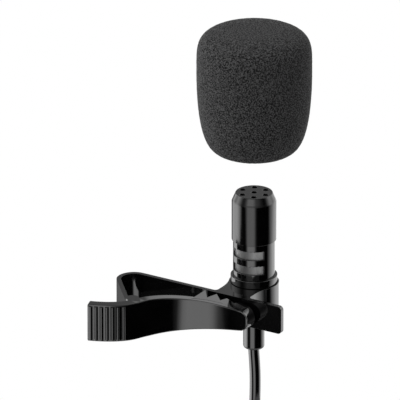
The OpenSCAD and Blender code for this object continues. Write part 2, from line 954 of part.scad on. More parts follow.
// Length along the thumb pad against the curve's own parameter
pad_lengths = [
    for (i = 0, s = 0; i <= 40; i = i + 1,
        s = s + norm(bezier(pad_curve, i / 40) - bezier(pad_curve, (i - 1) / 40)))
        [s, i / 40]
];

module ribs() {
    rib_len = lever_h - 3 * lever_edge_r;
    for (i = [0:rib_count - 1]) {
        at = bezier(pad_curve, lookup(first_rib + i * rib_pitch, pad_lengths));
        translate([at[0], at[1], -lever_sink])
            cylinder(d = rib_d, h = rib_len, center = true, $fn = 24);
    }
}

module clip_lever() {
    color([0.05, 0.05, 0.055])
        difference() {
            union() {
                difference() {
                    union() {
                        skin(lever_rings);
                        ribs();
                    }
                    // room for the base's knuckles and the spring
                    at_hinge()
                        cylinder(r = knuckle_r + move_gap, h = 2 * ear_inner, center = true);
                }
                tooth_block();
                at_hinge()
                    for (side = [-1, 1])
                        translate([0, 0, side * (ear_inner + ear_h / 2)])
                            cylinder(r = knuckle_r, h = ear_h, center = true);
            }
            at_hinge()
                translate([0, 0, -lever_h])
                    cylinder(d = pin_d, h = lever_h + lever_h / 2 - pin_skin);
        }
}

module hinge_pin() {
    pin_low = -lever_h / 2 + 0.2;
    pin_high = lever_h / 2 - pin_skin;
    color([0.6, 0.6, 0.62])
        at_hinge()
            translate([0, 0, pin_low])
                cylinder(d = pin_d, h = pin_high - pin_low);
}

// Spring: a leg in the return wall's groove, the coil down the pin, and a leg to the thumb pad
module torsion_spring() {
    pad_rest = bezier(pad_curve, 0.12) + (pad_t + wire_r) * turn_left(bezier_way(pad_curve, 0.12)) - hinge;
    reach = norm(pad_rest);
    leave = atan2(pad_rest[1], pad_rest[0]) - acos(spring_r / reach);
    start = wall_side;
    sweep = 360 * spring_turns + ((leave - start) % 360 + 360) % 360;
    steps = 8 * (spring_turns + 1);
    high = coil_rise / 2;
    leg = [for (s = [1, 0.5]) concat(spring_r * wall_out + s * spring_leg * wall_along, [high])];
    turns = [
        for (i = [0:steps])
            let (a = start + sweep * i / steps)
            [spring_r * cos(a), spring_r * sin(a), high - coil_rise * i / steps]
    ];
    pad_leg = [concat(pad_rest, [-high])];
    color([0.7, 0.7, 0.72])
        at_hinge()
            tube(concat(leg, turns, pad_leg), wire_r, 6, [0, 0, 1]);
}

// ---- Windscreen ----

// Half-profile: a flat crown with a round shoulder, sides that narrow to a soft lower edge
module foam_windscreen() {
    upper = foam_top - foam_mid;
    lower = foam_mid - foam_bottom;
    crown = [
        for (a = [90:-6:0])
            let (k = sin(a))
            [foam_d / 2 * pow(1 - pow(k, 6), 0.25), foam_mid + upper * k]
    ];
    skirt = [
        for (a = [6:6:84])
            let (k = sin(a))
            [(foam_d / 2 - foam_taper * pow(k, 1.5)) * pow(1 - pow(k, 3), 0.13), foam_mid - lower * k]
    ];
    color([0.16, 0.16, 0.17])
        on_mic_axis()
            difference() {
                rotate_extrude()
                    polygon(concat([[0, foam_bottom]], [[0, foam_top]], crown, skirt, [[foam_bore_r + 1.2, foam_bottom]]));
                translate([0, 0, foam_bottom - 1])
                    cylinder(r = foam_bore_r, h = foam_bore_depth + 1);
            }
}

clip_base();
mic_collar();
mic_barrel();
slot_mesh();
mic_cap();
cap_mesh();
dust_felt();
capsule_boot();
electret_can();
diaphragm();
spacer_ring();
backplate();
insulator_cup();
fet();
capsule_pcb();
solder_left();
solder_right();
lead_wire_left();
lead_wire_right();
cable_crimp();
strain_relief();
cable_entry();
cable_run();
cable_coil();
cable_tail();
cable_tie();
plug_boot();
plug_grip();
plug_sleeve();
plug_ring_1();
plug_ring_2();
plug_insulator_1();
plug_insulator_2();
plug_insulator_3();
plug_tip();
clip_lever();
hinge_pin();
torsion_spring();
foam_windscreen();
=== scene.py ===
import math

import bpy
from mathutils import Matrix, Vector, noise


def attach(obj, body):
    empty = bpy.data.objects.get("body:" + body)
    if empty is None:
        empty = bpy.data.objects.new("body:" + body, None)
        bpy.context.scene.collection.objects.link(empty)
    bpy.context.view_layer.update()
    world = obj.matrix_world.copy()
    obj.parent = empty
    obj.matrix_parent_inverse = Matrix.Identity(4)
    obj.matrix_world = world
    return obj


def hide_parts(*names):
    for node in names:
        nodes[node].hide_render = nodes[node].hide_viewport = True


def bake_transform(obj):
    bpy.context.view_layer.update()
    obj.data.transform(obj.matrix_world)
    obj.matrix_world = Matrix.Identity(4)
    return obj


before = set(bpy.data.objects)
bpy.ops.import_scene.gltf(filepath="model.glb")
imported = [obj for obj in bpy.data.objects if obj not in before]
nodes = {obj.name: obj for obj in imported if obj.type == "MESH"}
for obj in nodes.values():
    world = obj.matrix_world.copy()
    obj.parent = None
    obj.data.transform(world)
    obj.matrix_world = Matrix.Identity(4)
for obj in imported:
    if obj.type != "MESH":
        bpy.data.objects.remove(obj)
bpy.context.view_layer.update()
mm = 0.001
micAxis = (0, 10.1)  # mm, x and y of the microphone's centre line
micAxisY = micAxis[1] * mm
print("solids loaded:", len(nodes))


def placed(name, data):
    # a new object with this data, put into the scene
    thing = bpy.data.objects.new(name, data)
    bpy.context.scene.collection.objects.link(thing)
    return thing


cameraSetup = {
    "aim": (-10.25, 3.82, 22.67),  # mm, where the middle of the frame lies
    "towardsCamera": (0.4831, -0.7882, 0.3811),
    "fieldWidth": 88.89,  # mm across the frame at the aim point
    "lens": 1200,  # long, so nearly parallel; past about 1700 the far clip hides turned views
    "sensor": 36,
    "clip": (0.05, 50),  # metres
}


def placeCamera(setup):
    data = bpy.data.cameras.new("mainCamera")
    data.lens = setup["lens"]
    data.sensor_width = setup["sensor"]
    data.clip_start, data.clip_end = setup["clip"]
    camera = placed("mainCamera", data)
    back = Vector(setup["towardsCamera"]).normalized()
    distance = setup["fieldWidth"] * setup["lens"] / data.sensor_width * mm
    camera.location = Vector(setup["aim"]) * mm + back * distance
    camera.rotation_euler = (-back).to_track_quat("-Z", "Y").to_euler()
    bpy.context.scene.camera = camera


placeCamera(cameraSetup)
print("camera placed")

# one cord: out of the strain relief, down to a coil, and on to the plug
cableSetup = {
    "diameter": 2.5,  # mm
    "length": 1.5,  # metres, the usual length of such a lead
    "exitHeight": -12.8,
    "freeRun": [(0, -13.8), (0.2, -16.5), (0.35, -19.5), (0.35, -23.5), (0.15, -27.5),
                (-0.6, -31.7), (-2.4, -36), (-5.3, -39.8)],
    "stepsPerSpan": 5,
    "coilCentre": (0, -63.3),  # x and z
    "innerRadius": 12.5,
    "pitch": 3.0,
    "turnsPerLayer": 3.2917,
    "layers": 4,
    "layerChange": 0.5,  # turns that the cable takes to step over to the next layer
    "startAngle": 120,
    "pointsPerTurn": 36,
    "tailLength": 14,
    "tailSteps": 4,
    "firstLayerY": micAxis[1],
    "roundness": 6,
}


def tailPlace(setup):
    # x and y where the outermost turn of the last layer leaves the coil, straight down
    outer = setup["innerRadius"] + setup["pitch"] * setup["turnsPerLayer"]
    return setup["coilCentre"][0] - outer, setup["firstLayerY"] + (setup["layers"] - 1) * setup["pitch"]


def coilLine(setup):
    layers, perLayer, change = setup["layers"], setup["turnsPerLayer"], setup["layerChange"]
    inner = setup["innerRadius"]
    outer = inner + setup["pitch"] * perLayer
    turns = layers * perLayer
    lastTurn = turns - 0.0001  # just short of the end, so that it still counts to the last layer
    steps = round(turns * setup["pointsPerTurn"])
    line = []
    for i in range(steps + 1):
        turn = min(lastTurn, i * turns / steps)
        layer, share = divmod(turn / perLayer, 1)
        spiral = share if layer % 2 == 0 else 1 - share
        near = round(turn / perLayer)
        past = turn - near * perLayer
        if near == 0:
            height = 0
        elif near == layers:
            height = layers - 1
        else:
            height = near - 1 + min(1, max(0, (past + change / 2) / change))
        radius = outer - (outer - inner) * spiral
        angle = math.radians(setup["startAngle"] + 360 * turn)
        line.append(
            Vector((
                setup["coilCentre"][0] + radius * math.cos(angle),
                setup["firstLayerY"] + setup["pitch"] * height,
                setup["coilCentre"][1] + radius * math.sin(angle),
            ))
        )
    return line


def smoothLine(points, steps):
    # a curve through every point, with its ends going straight on
    padded = [2 * points[0] - points[1], *points, 2 * points[-1] - points[-2]]
    line = []
    for a, b, c, d in zip(padded, padded[1:], padded[2:], padded[3:]):
        for k in range(steps):
            t = k / steps
            square = (2 * a - 5 * b + 4 * c - d) * t**2
            cube = (3 * b - a - 3 * c + d) * t**3
            line.append(0.5 * (2 * b + (c - a) * t + square + cube))
    return line + [points[-1]]


def cableLine(setup):
    coil = coilLine(setup)
    start = math.radians(setup["startAngle"])
    startWay = Vector((-math.sin(start), 0, math.cos(start)))
    coilStart = coil[0] - setup["diameter"] * startWay
    run = [Vector((0, setup["firstLayerY"], setup["exitHeight"]))]
    run += [Vector((x, setup["firstLayerY"], z)) for x, z in setup["freeRun"]]
    run += [coilStart]
    tailX, tailY = tailPlace(setup)
    tailTop = setup["coilCentre"][1] - setup["diameter"]
    steps = setup["tailSteps"]
    tail = [Vector((tailX, tailY, tailTop - k * setup["tailLength"] / steps)) for k in range(steps + 1)]
    return [p * mm for p in smoothLine(run, setup["stepsPerSpan"]) + coil + tail]


def makeCable(setup):
    line = cableLine(setup)
    curve = bpy.data.curves.new("cable", "CURVE")
    curve.dimensions = "3D"
    curve.bevel_depth = 1  # times each point's own radius
    curve.bevel_resolution = setup["roundness"]
    curve.use_fill_caps = True
    spline = curve.splines.new("POLY")
    spline.points.add(len(line) - 1)
    for point, place in zip(spline.points, line):
        point.co = (*place, 1)
        point.radius = setup["diameter"] / 2 * mm
    spline.use_smooth = True
    return placed("cable", curve), line


cable, cablePath = makeCable(cableSetup)
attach(cable, "microphone")
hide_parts("cable_run", "cable_coil", "cable_tail")
print("cable laid, metres:", round(sum((b - a).length for a, b in zip(cablePath, cablePath[1:])), 3))


# helpers for the node trees of every finish
def nodeMaterial(name):
    material = bpy.data.materials.new(name)
    material.use_nodes = True
    tree = material.node_tree
    return material, tree, tree.nodes["Principled BSDF"]


def addNode(tree, kind, **sockets):
    node = tree.nodes.new(kind)
    for key, value in sockets.items():
        node.inputs[key].default_value = value
    return node


def feed(tree, value, socket):
    # value is another node's output, or a plain number or colour
    if isinstance(value, bpy.types.NodeSocket):
        tree.links.new(value, socket)
    else:
        socket.default_value = value


def joined(tree, operation, *values):
    node = tree.nodes.new("ShaderNodeMath")
    node.operation = operation
    for value, socket in zip(values, node.inputs):
        feed(tree, value, socket)
    return node.outputs["Value"]


def objectPlace(tree):
    return tree.nodes.new("ShaderNodeTexCoord").outputs["Object"]


def noiseAt(tree, place, scale, detail, roughness=0.5):
    texture = addNode(tree, "ShaderNodeTexNoise", Scale=scale, Detail=detail, Roughness=roughness)
    tree.links.new(place, texture.inputs["Vector"])
    return texture.outputs["Fac"]


def spread(tree, value, low, high, fromLow=0.3, fromHigh=0.7):
    node = tree.nodes.new("ShaderNodeMapRange")
    node.inputs["From Min"].default_value = fromLow
    node.inputs["From Max"].default_value = fromHigh
    node.inputs["To Min"].default_value = low
    node.inputs["To Max"].default_value = high
    tree.links.new(value, node.inputs["Value"])
    return node.outputs["Result"]


def bumpFrom(tree, shader, height, strength, depth):
    node = addNode(tree, "ShaderNodeBump", Strength=strength, Distance=depth)
    tree.links.new(height, node.inputs["Height"])
    tree.links.new(node.outputs["Normal"], shader.inputs["Normal"])


def twoTone(tree, value, dark, pale, low=0.35, high=0.65):
    ramp = tree.nodes.new("ShaderNodeValToRGB")
    for stop, place, colour in zip(ramp.color_ramp.elements, (low, high), (dark, pale)):
        stop.position = place
        stop.color = (*colour, 1)
    tree.links.new(value, ramp.inputs["Fac"])
    return ramp.outputs["Color"]


def speckledFinish(name, look):
    # colour, gloss and surface relief all vary a little at the finish's own scale
    material, tree, shader = nodeMaterial(name)
    place = objectPlace(tree)
    wide = noiseAt(tree, place, look["wideScale"], detail=2)
    fine = noiseAt(tree, place, look["fineScale"], detail=4, roughness=0.6)
    tree.links.new(twoTone(tree, wide, look["dark"], look["pale"]), shader.inputs["Base Color"])
    tree.links.new(spread(tree, fine, *look["roughness"]), shader.inputs["Roughness"])
    bumpFrom(tree, shader, fine, look["relief"], look["reliefDepth"] * mm)
    shader.inputs["Metallic"].default_value = look.get("metallic", 0)
    shader.inputs["IOR"].default_value = look.get("ior", 1.5)
    return material


finishes = {
    "glossBlack": {"dark": (0.001, 0.001, 0.0011), "pale": (0.002, 0.002, 0.0021),
                   "wideScale": 300, "fineScale": 2500, "roughness": (0.05, 0.09),
                   "relief": 0.02, "reliefDepth": 0.01},
    "lacquerBlack": {"dark": (0.001, 0.001, 0.001), "pale": (0.0018, 0.0018, 0.0019),
                     "wideScale": 400, "fineScale": 3500, "roughness": (0.06, 0.1),
                     "relief": 0.02, "reliefDepth": 0.01},
    "capLacquer": {"dark": (0.001, 0.001, 0.001), "pale": (0.0018, 0.0018, 0.0019),
                   "wideScale": 400, "fineScale": 3500, "roughness": (0.09, 0.13),
                   "relief": 0.02, "reliefDepth": 0.01, "ior": 1.4},
    "cableSheath": {"dark": (0.0006, 0.0006, 0.0006), "pale": (0.0012, 0.0012, 0.0012),
                    "wideScale": 200, "fineScale": 1800, "roughness": (0.05, 0.08),
                    "relief": 0.01, "reliefDepth": 0.01},
    "softRubber": {"dark": (0.008, 0.008, 0.008), "pale": (0.014, 0.014, 0.014),
                   "wideScale": 300, "fineScale": 4000, "roughness": (0.45, 0.6),
                   "relief": 0.12, "reliefDepth": 0.03},
    # painted shadow: flat black with almost no gloss, for the ring that stands in for the dark gap under
    # the collar
    "collarShadeBlack": {"dark": (0.0005, 0.0005, 0.0005), "pale": (0.001, 0.001, 0.001),
                   "wideScale": 300, "fineScale": 4000, "roughness": (0.85, 0.95),
                   "relief": 0.05, "reliefDepth": 0.01, "ior": 1.1},
    "strapFabric": {"dark": (0.006, 0.006, 0.006), "pale": (0.02, 0.02, 0.02),
                    "wideScale": 1500, "fineScale": 6000, "roughness": (0.8, 0.95),
                    "relief": 0.5, "reliefDepth": 0.05},
    "pressedFelt": {"dark": (0.02, 0.02, 0.02), "pale": (0.05, 0.05, 0.05),
                    "wideScale": 2500, "fineScale": 9000, "roughness": (0.85, 1),
                    "relief": 0.6, "reliefDepth": 0.06},
    "drawnAluminium": {"dark": (0.62, 0.62, 0.63), "pale": (0.78, 0.78, 0.8),
                       "wideScale": 900, "fineScale": 6000, "roughness": (0.2, 0.35),
                       "relief": 0.05, "reliefDepth": 0.01, "metallic": 1},
    "plainBrass": {"dark": (0.62, 0.46, 0.2), "pale": (0.8, 0.62, 0.3),
                   "wideScale": 800, "fineScale": 5000, "roughness": (0.2, 0.35),
                   "relief": 0.05, "reliefDepth": 0.01, "metallic": 1},
    "goldPlate": {"dark": (0.78, 0.55, 0.2), "pale": (0.9, 0.68, 0.3),
                  "wideScale": 500, "fineScale": 4000, "roughness": (0.08, 0.16),
                  "relief": 0.03, "reliefDepth": 0.01, "metallic": 1},
    "springSteel": {"dark": (0.42, 0.42, 0.43), "pale": (0.6, 0.6, 0.62),
                    "wideScale": 900, "fineScale": 6000, "roughness": (0.18, 0.3),
                    "relief": 0.06, "reliefDepth": 0.01, "metallic": 1},
    "brightSolder": {"dark": (0.6, 0.6, 0.61), "pale": (0.75, 0.75, 0.77),
                     "wideScale": 1500, "fineScale": 5000, "roughness": (0.25, 0.45),
                     "relief": 0.2, "reliefDepth": 0.02, "metallic": 1},
    "naturalPlastic": {"dark": (0.62, 0.61, 0.56), "pale": (0.76, 0.75, 0.7),
                       "wideScale": 700, "fineScale": 4000, "roughness": (0.4, 0.55),
                       "relief": 0.06, "reliefDepth": 0.02},
    "chipMoulding": {"dark": (0.01, 0.01, 0.01), "pale": (0.02, 0.02, 0.02),
                     "wideScale": 900, "fineScale": 7000, "roughness": (0.4, 0.6),
                     "relief": 0.2, "reliefDepth": 0.02},
    "boardMask": {"dark": (0.02, 0.16, 0.05), "pale": (0.03, 0.24, 0.08),
                  "wideScale": 1200, "fineScale": 5000, "roughness": (0.25, 0.4),
                  "relief": 0.08, "reliefDepth": 0.02},
    "redWire": {"dark": (0.4, 0.02, 0.02), "pale": (0.55, 0.04, 0.03),
                "wideScale": 900, "fineScale": 5000, "roughness": (0.3, 0.45),
                "relief": 0.05, "reliefDepth": 0.01},
    "whiteWire": {"dark": (0.65, 0.65, 0.63), "pale": (0.8, 0.8, 0.78),
                  "wideScale": 900, "fineScale": 5000, "roughness": (0.3, 0.45),
                  "relief": 0.05, "reliefDepth": 0.01},
}
made = {name: speckledFinish(name, look) for name, look in finishes.items()}
print("plain finishes mixed:", len(made))


def wovenScreen(name, look):
    # crossed wires: the height rises over each wire, and the gaps stay dark
    material, tree, shader = nodeMaterial(name)
    split = tree.nodes.new("ShaderNodeSeparateXYZ")
    tree.links.new(objectPlace(tree), split.inputs["Vector"])
    x, y, z = split.outputs
    if look["round"]:
        angle = joined(tree, "ARCTAN2", joined(tree, "SUBTRACT", y, micAxisY), x)
        ways = (joined(tree, "MULTIPLY", angle, look["radius"] * mm), z)
        # painted highlight: near one bearing round the barrel the wire's colour is scaled up, standing in
        # for light falling on that side
        away = joined(tree, "ABSOLUTE", joined(tree, "SUBTRACT", angle, look["paintedHighlightAt"]))
        near = joined(tree, "POWER", spread(tree, away, 1, 0, fromLow=0, fromHigh=look["paintedHighlightReach"]), 2)
        gain = joined(tree, "ADD", joined(tree, "MULTIPLY", near, look["paintedHighlightGain"]), look["plain"])
    else:
        ways, gain = (x, y), 1
    beat = math.pi / (look["pitch"] * mm)
    waves = []
    for way in ways:
        swing = joined(tree, "SINE", joined(tree, "MULTIPLY", way, beat))
        waves.append(joined(tree, "ABSOLUTE", swing))
    height = joined(tree, "MAXIMUM", *waves)
    tone = tree.nodes.new("ShaderNodeVectorMath")
    tone.operation = "SCALE"
    tree.links.new(twoTone(tree, height, look["gap"], look["wire"]), tone.inputs[0])
    feed(tree, gain, tone.inputs["Scale"])
    tree.links.new(tone.outputs[0], shader.inputs["Base Color"])
    shader.inputs["Metallic"].default_value = look["metallic"]
    grain = noiseAt(tree, objectPlace(tree), look["grainScale"], detail=2)
    tree.links.new(spread(tree, grain, *look["roughness"]), shader.inputs["Roughness"])
    bumpFrom(tree, shader, height, strength=0.7, depth=look["wireRelief"] * mm)
    return material


screens = {
    "slotScreen": {"round": True, "radius": 4.0, "pitch": 0.25,
                   "gap": (0.05, 0.05, 0.05), "wire": (0.13, 0.13, 0.13),
                   "metallic": 0.6, "roughness": (0.4, 0.5), "grainScale": 6000, "wireRelief": 0.04,
                   # radians round the barrel: a painted highlight, where the wire is drawn paler for the
                   # light it catches on that side
                   "paintedHighlightAt": -0.55, "paintedHighlightReach": 0.9, "paintedHighlightGain": 4.2, "plain": 0.85},
    "capScreen": {"round": False, "pitch": 0.25,
                  "gap": (0.002, 0.002, 0.002), "wire": (0.01, 0.01, 0.01),
                  "metallic": 0.3, "roughness": (0.4, 0.6), "grainScale": 6000, "wireRelief": 0.04},
}
made.update({name: wovenScreen(name, look) for name, look in screens.items()})
print("screens woven")

foamSetup = {
    # dark: painted shade in the pores; pale: the foam's own grey on the ribs
    "dark": (0.002, 0.002, 0.002),
    "pale": (0.088, 0.088, 0.089),
    "poreSize": 0.3,  # mm
    "poreDepth": 0.12,
    "bottom": 34.35,  # mm, heights on the microphone's axis
    "widest": 52.368,
    "top": 63.07,
    "radius": 12.87,
    "crownCurve": (6, 0.25),  # powers: the first flattens the crown, the second rounds its shoulder
    "taper": 1,
    "taperPower": 1.5,
    "mouthCurve": (3, 0.13),
    "mouthAngle": 84,
    "mouthRadius": 6.4,
    "mouthLip": 0.3,
    "boreRadius": 5.2,
    "boreLip": ((0.5, 0), (0.1, 0.25), (0, 0.7)),  # mm out from the bore, mm up
    "boreDepth": 17.9,
    "samples": 400,
    "step": 0.3,
    "sides": 264,
    "lumpSize": 0.75,
    "lumpDepth": 0.09,
    "fineLump": 0.45,  # times the lump size
    "fineOffset": (7, 3, 5),
    "lumpShares": (0.6, 0.4),
}


def openCellFoam(name, look):
    # cut bubbles: the foam's grain, with the pits painted dark as the shade inside them, between paler
    # ribs
    material, tree, shader = nodeMaterial(name)
    pores = noiseAt(tree, objectPlace(tree), 1 / (look["poreSize"] * mm), detail=1, roughness=0.6)
    colour = twoTone(tree, pores, look["dark"], look["pale"], low=0.4, high=0.62)
    tree.links.new(colour, shader.inputs["Base Color"])
    tree.links.new(spread(tree, pores, 0.95, 0.8), shader.inputs["Roughness"])
    shader.inputs["Specular IOR Level"].default_value = 0.15
    bumpFrom(tree, shader, pores, strength=0.5, depth=look["poreDepth"] * mm)
    return material


made["openFoam"] = openCellFoam("openFoam", foamSetup)

# which solids wear which finish
wornBy = {
    "glossBlack": ["clip_base", "clip_lever"],
    "cableSheath": ["strain_relief", "cable_entry"],
    "lacquerBlack": ["mic_collar", "mic_barrel", "plug_grip"],
    "capLacquer": ["mic_cap"],
    "slotScreen": ["slot_mesh"],
    "capScreen": ["cap_mesh"],
    "pressedFelt": ["dust_felt"],
    "softRubber": ["capsule_boot", "plug_boot"],
    "drawnAluminium": ["electret_can", "backplate"],
    "plainBrass": ["diaphragm", "cable_crimp"],
    "naturalPlastic": ["spacer_ring", "insulator_cup"],
    "chipMoulding": ["fet", "plug_insulator_1", "plug_insulator_2", "plug_insulator_3"],
    "boardMask": ["capsule_pcb"],
    "brightSolder": ["solder_left", "solder_right"],
    "redWire": ["lead_wire_left"],
    "whiteWire": ["lead_wire_right"],
    "springSteel": ["hinge_pin", "torsion_spring"],
    "goldPlate": ["plug_sleeve", "plug_ring_1", "plug_ring_2", "plug_tip"],
    "strapFabric": ["cable_tie"],
    "openFoam": ["foam_windscreen"],
}
for finish, wearers in wornBy.items():
    for name in wearers:
        for materialSlot in nodes[name].material_slots:
            materialSlot.material = made[finish]
cable.data.materials.append(made["cableSheath"])
print("solids dressed")

# smooth skins over the moulded clip and the turned metal
skinSetup = {
    "weld": 0.002,  # mm
    "creaseAngle": 38,  # degrees
    "edgeRadius": {"clip_base": 0.3, "clip_lever": 0.08, "mic_cap": 0.08,
                   "mic_collar": 0.06, "mic_barrel": 0.05},  # mm
    "edgeSegments": 3,
    "flatness": 100,  # how far the large faces hold their own shading
}


def roundedEdge(piece, name, width, segments, angle=None):
    edge = piece.modifiers.new(name, "BEVEL")
    edge.width = width * mm
    edge.segments = segments
    if angle is not None:
        edge.limit_method = "ANGLE"
        edge.angle_limit = math.radians(angle)
    return edge


def smoothSkinTree(setup):
    # welds the faces' shared corners, then shades across every edge softer than the crease angle
    tree = bpy.data.node_groups.new("smoothSkin", "GeometryNodeTree")
    for direction in ("INPUT", "OUTPUT"):
        tree.interface.new_socket("Geometry", in_out=direction, socket_type="NodeSocketGeometry")
    entry, leave = tree.nodes.new("NodeGroupInput"), tree.nodes.new("NodeGroupOutput")
    weld = addNode(tree, "GeometryNodeMergeByDistance", Distance=setup["weld"] * mm)
    plain = addNode(tree, "GeometryNodeRemoveAttribute", Name="custom_normal")
    faces = tree.nodes.new("GeometryNodeSetShadeSmooth")
    faces.domain = "FACE"
    edges = tree.nodes.new("GeometryNodeSetShadeSmooth")
    edges.domain = "EDGE"
    edges.inputs["Shade Smooth"].default_value = False
    angle = tree.nodes.new("GeometryNodeInputMeshEdgeAngle")
    sharp = addNode(tree, "FunctionNodeCompare", B=math.radians(setup["creaseAngle"]))
    sharp.operation = "GREATER_THAN"
    tree.links.new(angle.outputs["Unsigned Angle"], sharp.inputs["A"])
    tree.links.new(sharp.outputs["Result"], edges.inputs["Selection"])
    chain = [entry, weld, plain, faces, edges, leave]
    for a, b in zip(chain, chain[1:]):
        tree.links.new(a.outputs["Geometry"], b.inputs["Geometry"])
    return tree


def smoothSkins(setup):
    tree = smoothSkinTree(setup)
    for name, radius in setup["edgeRadius"].items():
        skin = nodes[name].modifiers.new("smoothSkin", "NODES")
        skin.node_group = tree
        edge = roundedEdge(nodes[name], "softEdges", radius, setup["edgeSegments"], setup["creaseAngle"])
        edge.use_clamp_overlap = True
        flat = nodes[name].modifiers.new("flatFaces", "WEIGHTED_NORMAL")
        flat.keep_sharp = True
        flat.weight = setup["flatness"]


smoothSkins(skinSetup)
print("clip skinned")


def foamOutline(setup):
    # radius and height from the crown's centre, over the side, into the mouth and up the bore
    upper = setup["top"] - setup["widest"]
    lower = setup["widest"] - setup["bottom"]
    crownPower, crownRound = setup["crownCurve"]
    mouthPower, mouthRound = setup["mouthCurve"]
    count = setup["samples"]
    line = [(0, setup["top"])]
    for i in range(count):
        k = math.sin(math.radians(90 - i * 90 / count))
        line.append((setup["radius"] * (1 - k**crownPower) ** crownRound, setup["widest"] + upper * k))
    for i in range(count):
        k = math.sin(math.radians(i * setup["mouthAngle"] / count))
        side = setup["radius"] - setup["taper"] * k ** setup["taperPower"]
        line.append((side * (1 - k**mouthPower) ** mouthRound, setup["widest"] - lower * k))
    line.append((setup["mouthRadius"] + setup["mouthLip"], setup["bottom"]))
    line += [(setup["boreRadius"] + out, setup["bottom"] + up) for out, up in setup["boreLip"]]
    roof = setup["bottom"] + setup["boreDepth"]
    return [*line, (setup["boreRadius"], roof), (0, roof)]


def evenSteps(line, step):
    total = sum(math.dist(a, b) for a, b in zip(line, line[1:]))
    count = round(total / step)
    stride = total / count
    picked, travelled, goal = [line[0]], 0, stride
    for a, b in zip(line, line[1:]):
        span = math.dist(a, b)
        while travelled + span >= goal - 1e-9 and len(picked) < count:
            share = (goal - travelled) / span if span else 0
            picked.append(tuple(p + (q - p) * share for p, q in zip(a, b)))
            goal += stride
        travelled += span
    return picked + [line[-1]]


def turnedPiece(name, outline, sides, axis=(0, 0)):
    # a lathe: the outline's first and last points may lie on the axis
    mesh = bpy.data.meshes.new(name)
    points, rings = [], []
    for radius, height in outline:
        if radius < 1e-6:
            rings.append([len(points)])
            points.append((axis[0], axis[1], height))
            continue
        rings.append(list(range(len(points), len(points) + sides)))
        for i in range(sides):
            turn = 2 * math.pi * i / sides
            points.append((axis[0] + radius * math.cos(turn), axis[1] + radius * math.sin(turn), height))
    faces = []
    for a, b in zip(rings, rings[1:]):
        for i in range(sides):
            j = (i + 1) % sides
            if len(a) == 1:
                faces.append((a[0], b[i], b[j]))
            elif len(b) == 1:
                faces.append((a[i], b[0], a[j]))
            else:
                faces.append((a[i], b[i], b[j], a[j]))
    mesh.from_pydata([Vector(p) * mm for p in points], [], faces)
    mesh.validate()
    mesh.shade_smooth()
    return placed(name, mesh)


def pitSurface(piece, setup):
    # every point sinks into the surface by an amount that wanders over about one lump
    mesh = piece.data
    size, depth = setup["lumpSize"], setup["lumpDepth"]
    fineSize = size * setup["fineLump"]
    coarseShare, fineShare = setup["lumpShares"]
    normals = [v.normal.copy() for v in mesh.vertices]
    for vertex, normal in zip(mesh.vertices, normals):
        coarse = 0.5 + 0.5 * noise.noise(vertex.co / (size * mm))
        fine = 0.5 + 0.5 * noise.noise(vertex.co / (fineSize * mm) + Vector(setup["fineOffset"]))
        vertex.co -= normal * depth * mm * (coarseShare * coarse + fineShare * fine)


foamLine = evenSteps(foamOutline(foamSetup), foamSetup["step"])
foam = turnedPiece("foamSkin", foamLine, foamSetup["sides"], micAxis)
pitSurface(foam, foamSetup)
foam.data.materials.append(made["openFoam"])
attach(foam, "windscreen")
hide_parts("foam_windscreen")
print("foam shaped, faces:", len(foam.data.polygons))

# thin black ring round the foot of the microphone's collar: a painted shadow of the gap where the collar
# meets the clip
seatSetup = {
    "inner": 5.225,  # mm
    "outer": 5.28,
    "bottom": 3.25,
    "thick": 0.13,
    "sides": 96,
}


def seatOutline(setup):
    inner, outer, low = setup["inner"], setup["outer"], setup["bottom"]
    high = low + setup["thick"]
    return [(inner, high), (outer, high), (outer, low), (inner, low), (inner, high)]


seat = turnedPiece("collarShadeRing", seatOutline(seatSetup), seatSetup["sides"], micAxis)
seat.data.shade_flat()
seat.data.materials.append(made["collarShadeBlack"])
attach(seat, "microphone")
print("seat laid")

# closes the jaw: one leg bears on the return wall, the other on the thumb pad
springSetup = {
    "axis": (-16.8, -14.2, -0.25),  # mm
    "radius": 1.2,
    "wireRadius": 0.2,
    "rise": 2.51,
    "startAngle": -139.144,
    "sweep": 1361.49,
    "wallLeg": 5.5,
    "wallLegSteps": 8,
    "padLegEnd": (-5.761, -5.501),  # mm from the axis
    "padLegSteps": 10,
    "stepsPerTurn": 30,
    "sides": 10,
    "tip": 0.8,  # the cut ends' radius, times the wire's
}


def springLine(setup):
    start = math.radians(setup["startAngle"])
    out = Vector((math.cos(start), math.sin(start), 0))
    along = Vector((math.sin(start), -math.cos(start), 0))
    radius, rise, top = setup["radius"], setup["rise"], setup["rise"] / 2
    lift = Vector((0, 0, top))
    legSteps = setup["wallLegSteps"]
    line = [radius * out + setup["wallLeg"] * (1 - k / legSteps) * along + lift for k in range(legSteps)]
    steps = round(setup["sweep"] / 360 * setup["stepsPerTurn"])
    for i in range(steps + 1):
        angle = start + math.radians(setup["sweep"]) * i / steps
        line.append(Vector((radius * math.cos(angle), radius * math.sin(angle), top - rise * i / steps)))
    last, end = line[-1], Vector((*setup["padLegEnd"], -top))
    legSteps = setup["padLegSteps"]
    line += [last.lerp(end, k / legSteps) for k in range(1, legSteps + 1)]
    return [p + Vector(setup["axis"]) for p in line]


